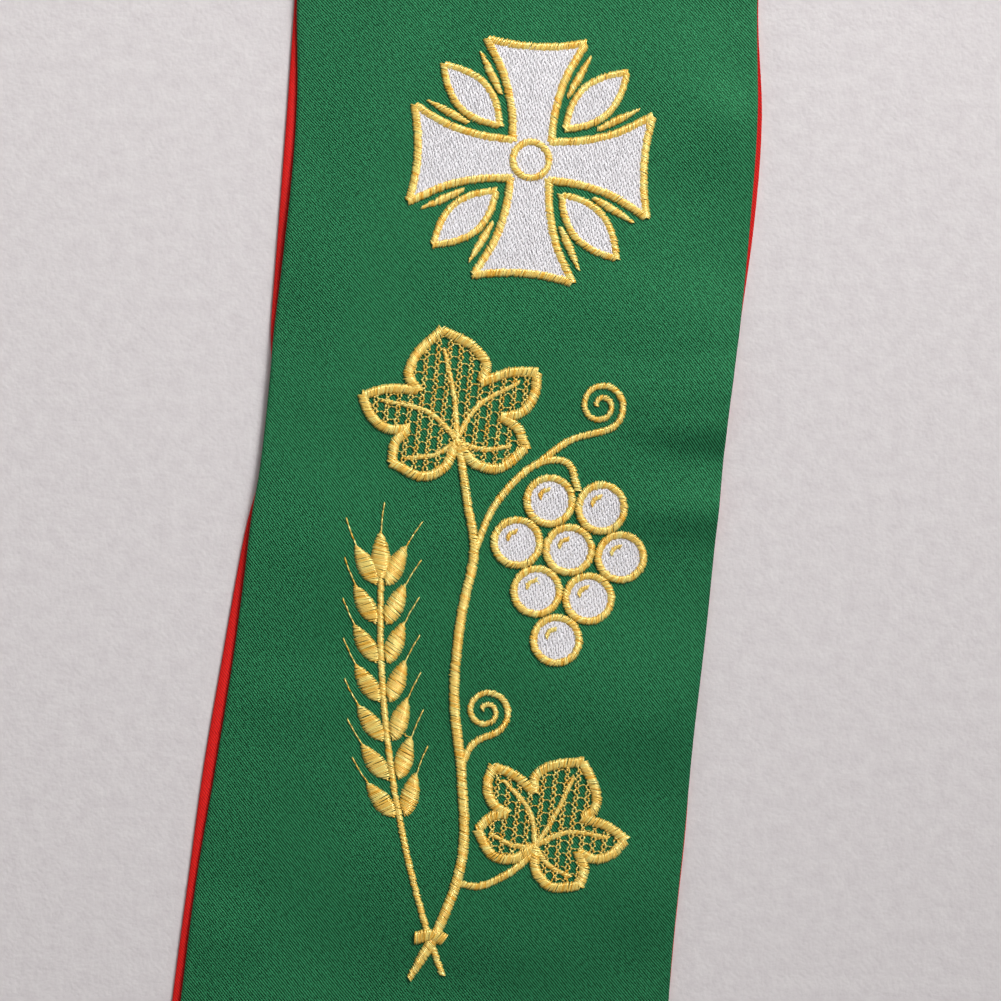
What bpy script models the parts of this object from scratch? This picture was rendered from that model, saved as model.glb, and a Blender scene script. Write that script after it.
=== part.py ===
"""Clerical stole laid flat: two green face halves over two red reverse halves.

Each half is one long band, cut from the hem to the centre back with a curved neck. The bands lie
side by side, joined at the top by the centre back seam on the plane X = 0. Sizes in the tables are
millimetres; MM turns them into metres.
"""
import math
from collections import namedtuple

import bmesh
import bpy
from mathutils import Vector

MM = 0.001

# Cloth and seams
WALL = 1.0              # one layer of twill with its interfacing
SEAM_GAP = 0.3          # clearance where two pieces are sewn together
LENGTH = 1300.0         # centreline of one half, hem to centre back
NECK_START = 1100.0     # where the band starts to turn round the neck
STEP = 2.0              # spacing of the points that trace the centreline
SEARCH_ROUNDS = 40      # halvings used to find where a thread meets the centre back

# One row for each section. along: distance from the hem. lean: tilt of the band towards the other
# half. The rest are the distances from the centreline to each piece's outer and inner edge.
Section = namedtuple("Section", "along lean face_outer face_inner back_outer back_inner")

SECTIONS_LEFT = [
    Section(0, 5.2, 69.6, 69.4, 72.4, 69.0),
    Section(90, 5.8, 67.6, 67.7, 70.1, 67.5),
    Section(118, 6.4, 66.9, 67.0, 69.3, 67.1),
    Section(146, 7.1, 65.4, 66.7, 68.8, 66.8),
    Section(174, 7.8, 64.5, 65.6, 67.7, 65.2),
    Section(202, 8.0, 64.5, 65.1, 66.7, 64.6),
    Section(216, 8.1, 64.8, 64.6, 65.9, 64.2),
    Section(230, 8.2, 64.5, 64.0, 64.2, 63.6),
    Section(258, 6.5, 65.0, 63.1, 64.7, 62.7),
    Section(272, 5.4, 65.2, 63.5, 66.2, 63.2),
    Section(286, 4.9, 64.7, 64.1, 66.5, 64.0),
    Section(314, 3.8, 63.7, 64.8, 66.5, 66.0),
    Section(342, 2.7, 63.4, 65.0, 66.0, 66.4),
    Section(370, 2.4, 64.6, 63.7, 65.4, 64.0),
    Section(450, 1.2, 63.0, 62.6, 64.6, 62.4),
    Section(700, 0.8, 57.6, 57.0, 59.4, 56.8),
    Section(1000, 0.9, 51.0, 50.6, 52.4, 50.4),
    Section(1100, 3.0, 49.2, 48.8, 50.2, 48.6),
    Section(1180, 24.0, 48.0, 47.8, 48.8, 47.6),
    Section(1300, 60.0, 47.5, 47.5, 48.2, 47.3),
    Section(1400, 74.0, 47.5, 47.5, 48.2, 47.3),
]

SECTIONS_RIGHT = [
    Section(0, 3.4, 69.4, 69.6, 70.6, 69.2),
    Section(90, 3.1, 67.4, 67.8, 69.2, 67.4),
    Section(174, 2.8, 65.0, 65.4, 66.6, 65.0),
    Section(258, 3.3, 64.2, 64.4, 65.0, 64.0),
    Section(342, 2.9, 63.8, 64.0, 65.4, 63.8),
    Section(450, 2.6, 62.8, 62.8, 64.6, 62.4),
    Section(700, 2.7, 57.4, 57.2, 58.6, 56.8),
    Section(1000, 2.4, 51.0, 50.6, 52.4, 50.4),
    Section(1100, 4.0, 49.2, 48.8, 50.2, 48.6),
    Section(1180, 24.0, 48.0, 47.8, 48.8, 47.6),
    Section(1300, 60.0, 47.5, 47.5, 48.2, 47.3),
    Section(1400, 74.0, 47.5, 47.5, 48.2, 47.3),
]

# One row for each soft fold: its middle on the band, its half length and half width, its height, the
# turn of its length from the line straight across the band, and the share that lifts the reverse too.
Fold = namedtuple("Fold", "along across half_length half_width height turn back_share")

FOLDS_LEFT = [
    Fold(238, 66, 46, 13, 2.2, 8, 1.0),
    Fold(265, 66, 52, 15, 2.4, 4, 1.0),
    Fold(300, 40, 60, 34, 1.2, -20, 0.0),
    Fold(345, 52, 50, 30, 1.3, 14, 0.0),
    Fold(180, 44, 56, 30, 1.2, -12, 0.0),
    Fold(128, 20, 70, 36, 1.1, 10, 0.0),
    Fold(210, -46, 44, 30, 1.0, 18, 0.0),
    Fold(300, -48, 44, 28, 1.1, -10, 0.0),
    Fold(66, -34, 60, 34, 1.2, -16, 0.0),
    Fold(470, 30, 70, 46, 1.5, 12, 0.0),
    Fold(560, -54, 40, 18, 2.0, -8, 1.0),
    Fold(690, 20, 60, 60, 1.4, 20, 0.0),
    Fold(820, 52, 38, 20, 1.8, 6, 1.0),
    Fold(930, -14, 60, 50, 1.3, -14, 0.0),
    Fold(1080, 44, 40, 22, 2.0, 10, 1.0),
    Fold(1190, -10, 50, 44, 1.2, 0, 0.0),
]

FOLDS_RIGHT = [
    Fold(52, 30, 60, 34, 1.2, 14, 0.0),
    Fold(150, -66, 44, 15, 2.2, -8, 1.0),
    Fold(182, -66, 48, 16, 1.8, -4, 1.0),
    Fold(260, 20, 70, 44, 1.3, 12, 0.0),
    Fold(372, -30, 60, 40, 1.4, -18, 0.0),
    Fold(500, 60, 42, 18, 2.0, 10, 1.0),
    Fold(640, -20, 62, 56, 1.5, -10, 0.0),
    Fold(770, -54, 38, 20, 1.7, -6, 1.0),
    Fold(900, 16, 60, 48, 1.3, 14, 0.0),
    Fold(1060, -46, 38, 22, 1.8, -10, 1.0),
    Fold(1180, 8, 50, 40, 1.1, 0, 0.0),
]

# Grid rows, as the end of each stretch and the number of rows in it, hem to NECK_START.
Stretch = namedtuple("Stretch", "end rows")
STRETCHES_LEFT = [
    Stretch(84, 5),
    Stretch(210, 10),
    Stretch(294, 14),
    Stretch(384, 8),
    Stretch(1100, 30),
]
STRETCHES_RIGHT = [Stretch(126, 7), Stretch(210, 10), Stretch(390, 10), Stretch(1100, 30)]
NECK_ROWS = 12

# Grid columns, as shares of the half width from the outer edge, -1, to the inner edge, 1
COLUMNS_LEFT = [-1.0, -0.8, -0.45, 0.0, 0.35, 0.6, 0.8, 0.92, 1.0]
COLUMNS_RIGHT = [-1.0, -0.92, -0.8, -0.6, -0.3, 0.1, 0.5, 0.8, 1.0]

FACE_COLOUR = (0.020, 0.127, 0.054, 1.0)
BACK_COLOUR = (0.60, 0.012, 0.014, 1.0)
CLOTH_ROUGHNESS = 0.72
COLLECTION_NAME = "clerical_stole"


def clear_scene():
    """Remove every object, so that the model starts in an empty scene."""
    for old in list(bpy.data.objects):
        bpy.data.objects.remove(old, do_unlink=True)


def smooth_read(rows, along, name):
    """Read one column of a section table at any distance, on a smooth curve through its rows."""
    last = len(rows) - 1
    i = 0
    while i < last - 1 and along > rows[i + 1].along:
        i += 1
    a, b = rows[i], rows[i + 1]
    before = rows[max(i - 1, 0)]
    after = rows[min(i + 2, last)]
    span = b.along - a.along
    t = min(max((along - a.along) / span, 0.0), 1.0)
    va, vb = getattr(a, name), getattr(b, name)
    slope_a = (vb - getattr(before, name)) / (b.along - before.along) * span
    slope_b = (getattr(after, name) - va) / (after.along - a.along) * span
    t2, t3 = t * t, t * t * t
    return (
        (2 * t3 - 3 * t2 + 1) * va
        + (t3 - 2 * t2 + t) * slope_a
        + (3 * t2 - 2 * t3) * vb
        + (t3 - t2) * slope_b
    )


class Band:
    """One half of the stole: a centreline that leans as its table says, with edges on both sides.

    It is drawn as the left half, whose inner edge faces +X. The right half is its mirror image.
    """

    def __init__(self, sections, folds, mirrored):
        self.sections = sections
        self.folds = folds
        self.side = -1.0 if mirrored else 1.0
        self.trace = self.trace_centreline()

    def lean(self, along):
        return math.radians(smooth_read(self.sections, along, "lean"))

    def trace_centreline(self):
        """Points of the centreline, moved so that it meets the centre back at the point (0, 0)."""
        count = int(self.sections[-1].along / STEP)
        points = [Vector((0.0, 0.0))]
        for i in range(count):
            angle = self.lean((i + 0.5) * STEP)
            points.append(points[-1] + STEP * Vector((math.sin(angle), math.cos(angle))))
        seam = points[int(LENGTH / STEP)]
        return [point - seam for point in points]

    def centre(self, along):
        place = min(max(along / STEP, 0.0), len(self.trace) - 1.001)
        i = int(place)
        return self.trace[i].lerp(self.trace[i + 1], place - i)

    def edge(self, piece, along, share):
        """Distance from the centreline at a share of the half width, outer side negative."""
        name = piece + ("_outer" if share < 0 else "_inner")
        return share * smooth_read(self.sections, along, name)

    def place(self, piece, along, share):
        """Flat place of a point of a piece, seen from above."""
        angle = self.lean(along)
        offset = self.edge(piece, along, share)
        return self.centre(along) + offset * Vector((math.cos(angle), -math.sin(angle)))

    def seam_distance(self, piece, share):
        """Distance along the band at which one thread meets the centre back seam."""
        low, high = NECK_START, self.sections[-1].along
        for _ in range(SEARCH_ROUNDS):
            middle = (low + high) / 2
            if self.place(piece, middle, share).x < -SEAM_GAP / 2:
                low = middle
            else:
                high = middle
        return low

    def lift(self, along, across, back):
        """Height of the soft folds at a place on the band. They fade to nothing at their borders."""
        height = 0.0
        for fold in self.folds:
            turn = math.radians(fold.turn)
            d_along, d_across = along - fold.along, across - fold.across
            u = (d_across * math.cos(turn) + d_along * math.sin(turn)) / fold.half_length
            v = (d_along * math.cos(turn) - d_across * math.sin(turn)) / fold.half_width
            inside = 1.0 - u * u - v * v
            if inside > 0:
                height += fold.height * inside * inside * (fold.back_share if back else 1.0)
        return height


def row_distances(stretches):
    """Distances from the hem of the grid rows, as far as the neck."""
    distances = [0.0]
    for stretch in stretches:
        start = distances[-1]
        for i in range(stretch.rows):
            distances.append(start + (stretch.end - start) * (i + 1) / stretch.rows)
    return distances


def cloth_material(name, colour):
    """Plain cloth colour for one layer."""
    material = bpy.data.materials.new(name)
    material.use_nodes = True
    shader = material.node_tree.nodes["Principled BSDF"]
    shader.inputs["Base Color"].default_value = colour
    shader.inputs["Roughness"].default_value = CLOTH_ROUGHNESS
    shader.inputs["Metallic"].default_value = 0.0
    return material


def cloth_piece(name, band, piece, stretches, columns, material, collection):
    """One cut piece: a grid laid on the band, then given its thickness by Solidify."""
    distances = row_distances(stretches)
    body_rows = len(distances) - 1
    rows = body_rows + NECK_ROWS
    across_count = len(columns) - 1
    ends = [band.seam_distance(piece, share) for share in columns]
    back = piece == "back"
    under_face = 0.0 if back else SEAM_GAP

    bm = bmesh.new()
    bmesh.ops.create_grid(bm, x_segments=across_count, y_segments=rows, size=1.0)
    for vert in bm.verts:
        column = round((vert.co.x + 1.0) / 2.0 * across_count)
        row = round((vert.co.y + 1.0) / 2.0 * rows)
        if row <= body_rows:
            along = distances[row]
        else:
            share_up = (row - body_rows) / NECK_ROWS
            along = NECK_START + (ends[column] - NECK_START) * share_up
        spot = band.place(piece, along, columns[column])
        across = band.edge(piece, along, columns[column])
        height = WALL + under_face + band.lift(along, across, back)
        vert.co = Vector((band.side * spot.x, spot.y, height)) * MM
    if band.side < 0:
        bmesh.ops.reverse_faces(bm, faces=bm.faces)
    mesh = bpy.data.meshes.new(name)
    bm.to_mesh(mesh)
    bm.free()
    mesh.shade_smooth()
    mesh.set_sharp_from_angle(angle=math.radians(40))
    mesh.materials.append(material)

    obj = bpy.data.objects.new(name, mesh)
    collection.objects.link(obj)
    wall = obj.modifiers.new("cloth_wall", "SOLIDIFY")
    wall.thickness = WALL * MM
    wall.offset = -1.0 if back else 1.0
    return obj


def centre_on_origin(objects):
    """Move the stole so that the origin is at the bottom centre of its box."""
    corners = [vert.co for obj in objects for vert in obj.data.vertices]
    middle_x = (min(co.x for co in corners) + max(co.x for co in corners)) / 2
    middle_y = (min(co.y for co in corners) + max(co.y for co in corners)) / 2
    for obj in objects:
        obj.location = (-middle_x, -middle_y, 0.0)


def main():
    clear_scene()
    collection = bpy.data.collections.new(COLLECTION_NAME)
    bpy.context.scene.collection.children.link(collection)
    left = Band(SECTIONS_LEFT, FOLDS_LEFT, mirrored=False)
    right = Band(SECTIONS_RIGHT, FOLDS_RIGHT, mirrored=True)
    face = cloth_material("green_twill", FACE_COLOUR)
    back = cloth_material("red_lining_cloth", BACK_COLOUR)
    pieces = [
        cloth_piece("face_left", left, "face", STRETCHES_LEFT, COLUMNS_LEFT, face, collection),
        cloth_piece("face_right", right, "face", STRETCHES_RIGHT, COLUMNS_RIGHT, face, collection),
        cloth_piece("back_left", left, "back", STRETCHES_LEFT, COLUMNS_LEFT, back, collection),
        cloth_piece("back_right", right, "back", STRETCHES_RIGHT, COLUMNS_RIGHT, back, collection),
    ]
    centre_on_origin(pieces)


main()
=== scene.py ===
# %% [markdown]
# A clerical stole, laid flat. It is a long reversible band of green twill, backed with red twill and
# embroidered in gold and white thread near one end. The frame holds four plain solid walls. This
# lesson dresses them: thin shells of cloth on the walls, then real stitches laid on the shell.

# %% Load the frame
import math

import bpy
import numpy as np
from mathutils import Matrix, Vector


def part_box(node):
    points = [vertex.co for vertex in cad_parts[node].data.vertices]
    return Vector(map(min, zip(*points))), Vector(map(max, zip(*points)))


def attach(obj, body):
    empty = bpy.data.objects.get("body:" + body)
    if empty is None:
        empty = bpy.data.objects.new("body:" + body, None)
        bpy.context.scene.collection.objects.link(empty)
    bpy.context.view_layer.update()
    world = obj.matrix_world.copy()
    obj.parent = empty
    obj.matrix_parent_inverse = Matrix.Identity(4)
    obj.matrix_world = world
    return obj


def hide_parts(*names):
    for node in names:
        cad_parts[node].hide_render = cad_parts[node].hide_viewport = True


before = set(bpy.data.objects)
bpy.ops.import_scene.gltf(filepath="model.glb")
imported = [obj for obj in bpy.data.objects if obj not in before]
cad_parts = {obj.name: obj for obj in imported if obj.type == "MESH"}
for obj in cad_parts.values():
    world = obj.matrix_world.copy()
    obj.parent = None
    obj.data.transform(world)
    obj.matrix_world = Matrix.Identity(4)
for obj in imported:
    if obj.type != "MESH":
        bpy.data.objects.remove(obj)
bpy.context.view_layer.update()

MM = 0.001

# %% [markdown]
# Every thread of the stole follows the band, so the band comes first. It could be drawn as an outline
# in the row's own frame, but then the weave and the needlework would need a second map. Here a place
# on the cloth is two lengths in millimetres: along, from the hem, and across, from the centreline,
# with the inner side positive. One table for each half turns them into a place in the room. Its rows
# are the sections that the solids have.

# %% The cut of the two halves
SECTION_NAMES = ("along", "lean", "face_outer", "face_inner", "back_outer", "back_inner")
SECTIONS_NECK = [
    (1180, 24.0, 48.0, 47.8, 48.8, 47.6),
    (1300, 60.0, 47.5, 47.5, 48.2, 47.3),
    (1400, 74.0, 47.5, 47.5, 48.2, 47.3),
]
SECTIONS_LEFT = np.array([
    (0, 5.2, 69.6, 69.4, 72.4, 69.0),
    (90, 5.8, 67.6, 67.7, 70.1, 67.5),
    (118, 6.4, 66.9, 67.0, 69.3, 67.1),
    (146, 7.1, 65.4, 66.7, 68.8, 66.8),
    (174, 7.8, 64.5, 65.6, 67.7, 65.2),
    (202, 8.0, 64.5, 65.1, 66.7, 64.6),
    (216, 8.1, 64.8, 64.6, 65.9, 64.2),
    (230, 8.2, 64.5, 64.0, 64.2, 63.6),
    (258, 6.5, 65.0, 63.1, 64.7, 62.7),
    (272, 5.4, 65.2, 63.5, 66.2, 63.2),
    (286, 4.9, 64.7, 64.1, 66.5, 64.0),
    (314, 3.8, 63.7, 64.8, 66.5, 66.0),
    (342, 2.7, 63.4, 65.0, 66.0, 66.4),
    (370, 2.4, 64.6, 63.7, 65.4, 64.0),
    (450, 1.2, 63.0, 62.6, 64.6, 62.4),
    (700, 0.8, 57.6, 57.0, 59.4, 56.8),
    (1000, 0.9, 51.0, 50.6, 52.4, 50.4),
    (1100, 3.0, 49.2, 48.8, 50.2, 48.6),
] + SECTIONS_NECK)
SECTIONS_RIGHT = np.array([
    (0, 3.4, 69.4, 69.6, 70.6, 69.2),
    (90, 3.1, 67.4, 67.8, 69.2, 67.4),
    (174, 2.8, 65.0, 65.4, 66.6, 65.0),
    (258, 3.3, 64.2, 64.4, 65.0, 64.0),
    (342, 2.9, 63.8, 64.0, 65.4, 63.8),
    (450, 2.6, 62.8, 62.8, 64.6, 62.4),
    (700, 2.7, 57.4, 57.2, 58.6, 56.8),
    (1000, 2.4, 51.0, 50.6, 52.4, 50.4),
    (1100, 4.0, 49.2, 48.8, 50.2, 48.6),
] + SECTIONS_NECK)
LENGTH = 1300.0        # hem to centre back, on the centreline
NECK_START = 1100.0    # where the band turns round the neck
SEAM_GAP = 0.3
FACE_TOP = 2.3         # height of the face cloth's upper side above the surface


def smooth_read(rows, along, name):
    """One column of a table at any distance, on a smooth curve through its rows."""
    x, v = rows[:, 0], rows[:, SECTION_NAMES.index(name)]
    slope = np.empty_like(v)
    slope[1:-1] = (v[2:] - v[:-2]) / (x[2:] - x[:-2])
    slope[0] = (v[1] - v[0]) / (x[1] - x[0])
    slope[-1] = (v[-1] - v[-2]) / (x[-1] - x[-2])
    along = np.clip(along, x[0], x[-1])
    i = np.clip(np.searchsorted(x, along, side="right") - 1, 0, len(x) - 2)
    span = x[i + 1] - x[i]
    t = (along - x[i]) / span
    return (
        (2 * t**3 - 3 * t**2 + 1) * v[i] + (t**3 - 2 * t**2 + t) * slope[i] * span
        + (3 * t**2 - 2 * t**3) * v[i + 1] + (t**3 - t**2) * slope[i + 1] * span
    )


print("sections:", len(SECTIONS_LEFT), "on the left band,", len(SECTIONS_RIGHT), "on the right")

# %% [markdown]
# Cloth laid by hand is never flat. The big soft waves are in the solids too, as a row each: where the
# wave lies, its half length and half width, its height, its turn, and the share that lifts the red
# reverse as well. The shell repeats them. They could be sculpted, but a row can be moved and measured.

# %% Folds
FOLD_NAMES = ("along", "across", "half_length", "half_width", "height", "turn", "back_share")
FOLDS_LEFT = [
    (238, 66, 46, 13, 2.2, 8, 1.0),
    (265, 66, 52, 15, 2.4, 4, 1.0),
    (300, 40, 60, 34, 1.2, -20, 0.0),
    (345, 52, 50, 30, 1.3, 14, 0.0),
    (180, 44, 56, 30, 1.2, -12, 0.0),
    (128, 20, 70, 36, 1.1, 10, 0.0),
    (210, -46, 44, 30, 1.0, 18, 0.0),
    (300, -48, 44, 28, 1.1, -10, 0.0),
    (66, -34, 60, 34, 1.2, -16, 0.0),
    (470, 30, 70, 46, 1.5, 12, 0.0),
    (560, -54, 40, 18, 2.0, -8, 1.0),
    (690, 20, 60, 60, 1.4, 20, 0.0),
    (820, 52, 38, 20, 1.8, 6, 1.0),
    (930, -14, 60, 50, 1.3, -14, 0.0),
    (1080, 44, 40, 22, 2.0, 10, 1.0),
    (1190, -10, 50, 44, 1.2, 0, 0.0),
]
FOLDS_RIGHT = [
    (52, 30, 60, 34, 1.2, 14, 0.0),
    (150, -66, 44, 15, 2.2, -8, 1.0),
    (182, -66, 48, 16, 1.8, -4, 1.0),
    (260, 20, 70, 44, 1.3, 12, 0.0),
    (372, -30, 60, 40, 1.4, -18, 0.0),
    (500, 60, 42, 18, 2.0, 10, 1.0),
    (640, -20, 62, 56, 1.5, -10, 0.0),
    (770, -54, 38, 20, 1.7, -6, 1.0),
    (900, 16, 60, 48, 1.3, 14, 0.0),
    (1060, -46, 38, 22, 1.8, -10, 1.0),
    (1180, 8, 50, 40, 1.1, 0, 0.0),
]
print("folds:", len(FOLDS_LEFT), "on the left band,", len(FOLDS_RIGHT), "on the right")

# %% [markdown]
# The shell has finer forms that the solids leave out. A low swell runs along the middle, where the
# needlework stiffens the cloth. Creases lie where the photo shows them, most of them near the right
# edge, where two folds end, as soft troughs and ridges. A faint waviness of many sizes
# lies all over. Bump in the material could not do this, because the edges have to wave too.

# %% Creases and waviness
SWELL = (265, 0, 74, 200, 1.5, 0, 0.0)
CREASES = [
    (238, 66, 46, 13, -1.1, 8, 0.0),
    (265, 66, 52, 15, -0.6, 4, 0.0),
    (236.5, 70, 36, 7, 0.8, 7, 0.0),
    (257.5, 72, 46, 7, 1.0, 5, 0.0),
    (272, 52, 52, 30, 0.9, 0, 0.0),
    (303, 49, 38, 28, -1.6, -8, 0.0),
    (412, 56, 40, 44, 1.6, 0, 0.0),
    (353, 58, 20, 13, -0.5, 0, 0.0),
    (181, 58, 34, 30, 0.6, 12, 0.0),
    (212, 34, 34, 12, -0.25, 24, 0.0),
    (124, 60, 26, 16, 0.4, -8, 0.0),
    (109, 11, 24, 14, 0.3, 0, 0.0),
    (170, -55, 14, 11, 0.3, 20, 0.0),
    (133, -57, 16, 14, 0.3, -10, 0.0),
    (255, -55, 14, 12, 0.3, 14, 0.0),
    (103, -54, 22, 14, 0.4, 0, 0.0),
    (353, -40, 26, 16, 0.3, 10, 0.0),
]
WAVES = 30
WAVE_FADE = 9.0        # how far inside the edge the waves reach their full height
wave_rng = np.random.default_rng(4)
WAVE_LENGTH = wave_rng.uniform(16, 62, WAVES)
WAVE_HEADING = wave_rng.uniform(0, math.pi, WAVES)
WAVE_START = wave_rng.uniform(0, 2 * math.pi, WAVES)
WAVE_HEIGHT = 0.0012 * WAVE_LENGTH


def waviness(along, across):
    """The small unevenness of cloth that was ironed and carried, in millimetres."""
    height = np.zeros(np.broadcast(along, across).shape)
    for length, heading, start, size in zip(WAVE_LENGTH, WAVE_HEADING, WAVE_START, WAVE_HEIGHT):
        turn = 2 * math.pi / length
        height += size * np.sin(turn * (along * math.sin(heading) + across * math.cos(heading)) + start)
    return height


print("waves from", round(WAVE_LENGTH.min()), "to", round(WAVE_LENGTH.max()), "mm long")

# %% [markdown]
# Each half is now an object that knows its cut and its folds. It turns a place on the cloth into a
# place in the room: it walks along the centreline, which leans more and more round the neck, and then
# steps aside. Both halves meet in the middle at the top, and the lower corner of the left face is set
# on the corner of its solid.

# %% The map from the band to the room
class Band:
    """One half of the stole. The right half is the mirror image of what its table describes."""

    trace_step = 2.0

    def __init__(self, sections, folds, mirrored):
        self.sections = sections
        self.folds = [dict(zip(FOLD_NAMES, row)) for row in folds]
        self.side = -1.0 if mirrored else 1.0
        self.trace_along = np.arange(0.0, sections[-1, 0] + 0.5, self.trace_step)
        lean = self.lean(self.trace_along[:-1] + self.trace_step / 2)
        steps = self.trace_step * np.stack((np.sin(lean), np.cos(lean)), axis=1)
        self.trace = np.vstack(((0.0, 0.0), np.cumsum(steps, axis=0)))
        self.trace -= self.trace[int(LENGTH / self.trace_step)]
        self.shift = np.zeros(2)

    def lean(self, along):
        return np.radians(smooth_read(self.sections, along, "lean"))

    def half(self, piece, along, share):
        """Distance from the centreline to a piece's outer or inner edge, by the sign of share."""
        outer = smooth_read(self.sections, along, piece + "_outer")
        inner = smooth_read(self.sections, along, piece + "_inner")
        return np.where(share < 0, outer, inner)

    def flat_place(self, along, across):
        """X and Y in millimetres of a place on the band."""
        lean = self.lean(along)
        x = np.interp(along, self.trace_along, self.trace[:, 0]) + across * np.cos(lean)
        y = np.interp(along, self.trace_along, self.trace[:, 1]) - across * np.sin(lean)
        return self.side * x + self.shift[0], y + self.shift[1]

    def lift(self, along, across, back=False):
        """Height of the folds. Each fades to nothing at its border."""
        height = np.zeros(np.broadcast(along, across).shape)
        for fold in self.folds:
            turn = math.radians(fold["turn"])
            d_along, d_across = along - fold["along"], across - fold["across"]
            u = (d_across * math.cos(turn) + d_along * math.sin(turn)) / fold["half_length"]
            v = (d_along * math.cos(turn) - d_across * math.sin(turn)) / fold["half_width"]
            inside = np.clip(1.0 - u * u - v * v, 0.0, None)
            height += fold["height"] * inside**2 * (fold["back_share"] if back else 1.0)
        if not back:
            edge = np.minimum(
                self.half("face", along, -1.0) + across, self.half("face", along, 1.0) - across)
            height += waviness(along, across) * np.clip(edge / WAVE_FADE, 0.25, 1.0)
        return height


left = Band(SECTIONS_LEFT, FOLDS_LEFT + [SWELL] + CREASES, mirrored=False)
right = Band(SECTIONS_RIGHT, FOLDS_RIGHT, mirrored=True)
face_low, face_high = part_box("face_left")
hem_corner = left.flat_place(0.0, float(left.half("face", 0.0, 1.0)))
frame_shift = np.array((face_high.x / MM + SEAM_GAP / 2, face_low.y / MM - hem_corner[1]))
for band in (left, right):
    band.shift = frame_shift
print("centre back seam at x =", round(float(frame_shift[0]), 2), "mm")

# %% [markdown]
# The photo looks straight down on the lower part of the left band. A pixel is about 0.28 mm of cloth.
# The camera is about 70 cm above, as if held in the hand. So the gleam of the cloth changes over the
# picture, from the upper right, where the view meets the light, to the lower left. A longer lens from
# further up would frame the same cloth, but would show it more evenly lit than the photo does.

# %% Camera
PHOTO_SIDE = 1001                      # pixels
PIXEL = 0.2785                         # millimetres of cloth
VIEW_ALONG, VIEW_ACROSS = 231.2, 3.2   # the middle of the photo, on the band
CAMERA_HEIGHT = 720.0
SENSOR = 36.0

camera_data = bpy.data.cameras.new("camera")
camera = bpy.data.objects.new("camera", camera_data)
bpy.context.scene.collection.objects.link(camera)
bpy.context.scene.camera = camera
view_x, view_y = left.flat_place(VIEW_ALONG, VIEW_ACROSS)
camera.location = (view_x * MM, view_y * MM, CAMERA_HEIGHT * MM)
camera_data.sensor_width = SENSOR
camera_data.lens = SENSOR * (CAMERA_HEIGHT - FACE_TOP) / (PHOTO_SIDE * PIXEL)
camera_data.clip_end = 20.0
print("camera over", round(float(view_x), 1), round(float(view_y), 1))

# %% [markdown]
# Two small helpers serve all materials. One turns a colour as seen on a screen into the linear values
# that the renderer adds up. The other adds one node, sets it and links it.

# %% Helpers for materials


def linear(hex_colour):
    """A colour such as 2F6B45, as seen on a screen, as linear red, green, blue and alpha."""
    channels = [int(hex_colour[i:i + 2], 16) / 255 for i in (0, 2, 4)]
    return tuple(c / 12.92 if c <= 0.04045 else ((c + 0.055) / 1.055) ** 2.4 for c in channels) + (1.0,)


def add(tree, kind, inputs=None, **settings):
    """One node. inputs maps a socket's name or number to a value, or to a socket to link from."""
    made = tree.nodes.new(kind)
    for name, value in settings.items():
        setattr(made, name, value)
    for key, value in (inputs or {}).items():
        if isinstance(value, bpy.types.NodeSocket):
            tree.links.new(value, made.inputs[key])
        else:
            made.inputs[key].default_value = value
    return made


def new_material(name):
    """A material with an empty tree, and its Principled shader linked to the output."""
    material = bpy.data.materials.new(name)
    material.use_nodes = True
    tree = material.node_tree
    tree.nodes.clear()
    shader = add(tree, "ShaderNodeBsdfPrincipled")
    add(tree, "ShaderNodeOutputMaterial", {"Surface": shader.outputs["BSDF"]})
    return material, tree, shader


# %% [markdown]
# The cloth is polyester twill. Its warp floats over two or more weft threads, one step aside in each
# row, which gives slanted ribs at 45 degrees to the grain. They are 0.62 mm apart, little more than two
# pixels of the photo, and are drawn at 0.64 mm. Ribs could be modelled, but there are thousands, so a
# wave drives their colour and a bump instead. It reads the map of the cut, so it turns with the band.
# Each rib's colour is painted lit and shaded. Its back is lighter, as a painted highlight, and its
# valley is darker as painted shade, down to nearly black on the green. Its floats aren't all alike. The
# yarn is clear polyester dyed through, so half of what the eye sees is a broad gleam of the dye's own
# colour.
# That gleam makes every soft crease show. Polyester's own index is about 1.6. It is set a little
# higher, because the light goes through many fibres.

# %% Twill
RIB_SPACING = 0.64 * MM
FLOAT_LENGTH = 1.1 * MM
RIB_WANDER = 9 * MM      # over this length a rib strays by up to half its width
YARN_INDEX = 1.7


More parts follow.
